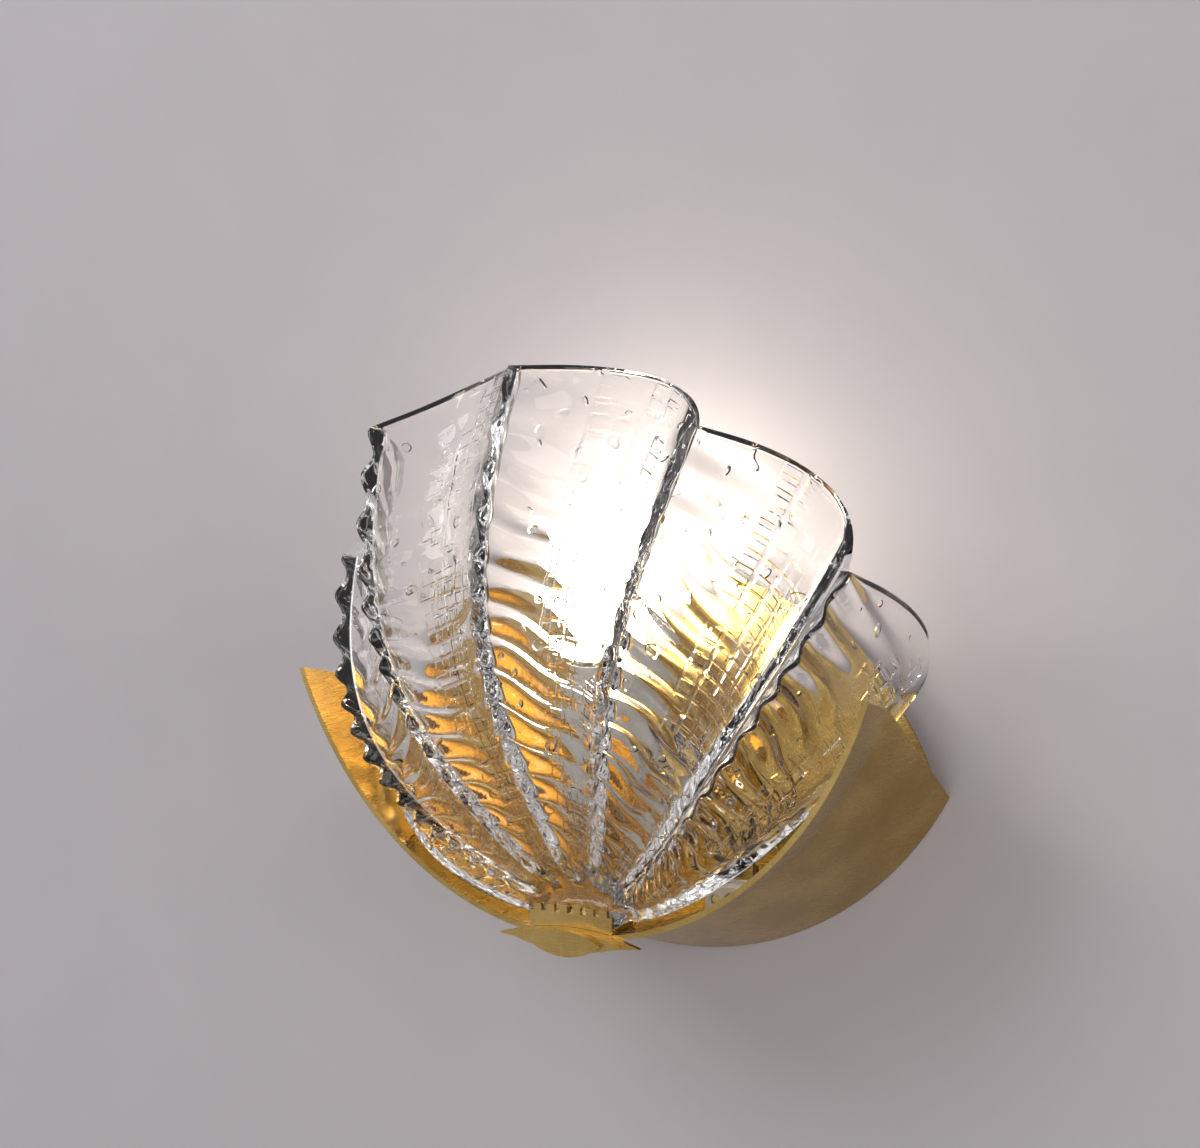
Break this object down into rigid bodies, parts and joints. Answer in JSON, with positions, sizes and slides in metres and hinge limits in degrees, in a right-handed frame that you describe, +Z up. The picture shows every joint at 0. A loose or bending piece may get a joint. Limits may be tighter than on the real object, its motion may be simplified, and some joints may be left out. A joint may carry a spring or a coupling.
{
  "type": "shell wall light",
  "caption": "Wall sconce with a clear scallop-shell glass diffuser standing in a flared brass bracket, with one upright lamp behind the glass.",
  "frame": {"origin": "centre of the wall bar's back face, on the wall, midway between the two wall screws", "axes": "+X to the right as seen from the room, -Y out of the wall into the room, +Z up; the wall is the plane Y = 0"},
  "size_m": [0.2308, 0.1324, 0.2236],
  "materials": {
    "blue_insulation": "smooth silicone",
    "brown_insulation": "smooth silicone",
    "shell_glass": "pressed clear glass with fine ripples",
    "lamp_glass": "clear lamp glass, lit from inside",
    "filament": "glowing filament rods",
    "lamp_cap_metal": "rolled thread",
    "solder": "solder",
    "cap_insulator": "black vitrite",
    "holder_plastic": "off-white, matt",
    "terminal_plastic": "white, matt",
    "grommet_rubber": "black, soft",
    "clear_silicone": "clear, soft",
    "zinc_steel": "zinc plated",
    "plated_shell": "bright",
    "plain_brass": "bright",
    "satin_brass": "satin, antique tone"
  },
  "bodies": {
    "bracket": {"back_plate": "satin_brass", "block_nut": "zinc_steel", "block_screw": "zinc_steel", "blue_wire": "blue_insulation", "bracket_nuts": "zinc_steel", "bracket_screws": "zinc_steel", "brown_wire": "brown_insulation", "cable_grommet": "grommet_rubber", "cap_nut_washers": "satin_brass", "cap_nuts": "satin_brass", "centre_contact": "plated_shell", "clip_pads": "clear_silicone", "earth_nut": "plain_brass", "earth_screw": "plain_brass", "earth_washer": "plain_brass", "foot_liner": "clear_silicone", "glass_tray": "satin_brass", "hinge_cap": "satin_brass", "holder_bracket": "zinc_steel", "lampholder_body": "holder_plastic", "left_arm": "satin_brass", "left_glass_clip": "satin_brass", "nipple_nut": "zinc_steel", "right_arm": "satin_brass", "right_glass_clip": "satin_brass", "socket_shell": "plated_shell", "terminal_block": "terminal_plastic", "terminal_screws": "zinc_steel", "terminal_sleeves": "plain_brass", "threaded_nipple": "zinc_steel", "wall_bar": "zinc_steel", "wall_studs": "zinc_steel"},
    "glass": {"glass_shell": "shell_glass"},
    "lamp": {"lamp_cap": "lamp_cap_metal", "lamp_contact": "solder", "lamp_filaments": "filament", "lamp_glass": "lamp_glass", "lamp_insulator": "cap_insulator"}
  },
  "joints": [
    {"name": "glass_lift", "type": "slide", "parent": "bracket", "child": "glass", "axis": [0, 0, 1], "range_m": [0, 0.06]},
    {"name": "lamp_out", "type": "slide", "parent": "bracket", "child": "lamp", "axis": [0, 0, 1], "range_m": [0, 0.022]}
  ]
}
